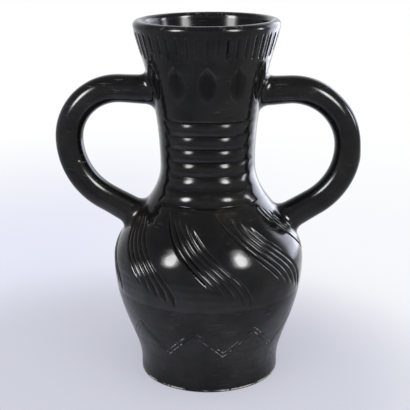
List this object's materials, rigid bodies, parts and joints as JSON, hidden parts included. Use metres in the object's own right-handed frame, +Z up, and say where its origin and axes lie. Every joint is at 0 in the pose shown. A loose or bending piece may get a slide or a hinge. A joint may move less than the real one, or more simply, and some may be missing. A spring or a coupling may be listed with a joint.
{
  "type": "two-handled vase",
  "caption": "Black glazed vase with a flared neck, a round belly tapering to a flat foot, and a large ring handle on each side.",
  "frame": {"origin": "centre of the foot, on the surface that the vase stands on", "axes": "+Z up along the pot's axis, +X towards the right handle as seen from the front, -Y towards the front"},
  "size_m": [0.3213, 0.2028, 0.38],
  "materials": {
    "base_glaze": "satin black glaze, bare clay under the foot",
    "shoulder_glaze": "glossy black glaze",
    "neck_glaze": "glossy black glaze",
    "inside_glaze": "glossy black glaze",
    "handle_glaze": "glossy black glaze",
    "root_glaze": "glossy black glaze"
  },
  "bodies": {
    "root": {"base_section": "base_glaze", "shoulder_section": "shoulder_glaze", "neck_section": "neck_glaze", "girth_seam_coil": "inside_glaze", "neck_seam_coil": "inside_glaze", "left_handle": "handle_glaze", "right_handle": "handle_glaze", "left_upper_root_coil": "root_glaze", "left_lower_root_coil": "root_glaze", "right_upper_root_coil": "root_glaze", "right_lower_root_coil": "root_glaze"}
  },
  "joints": []
}
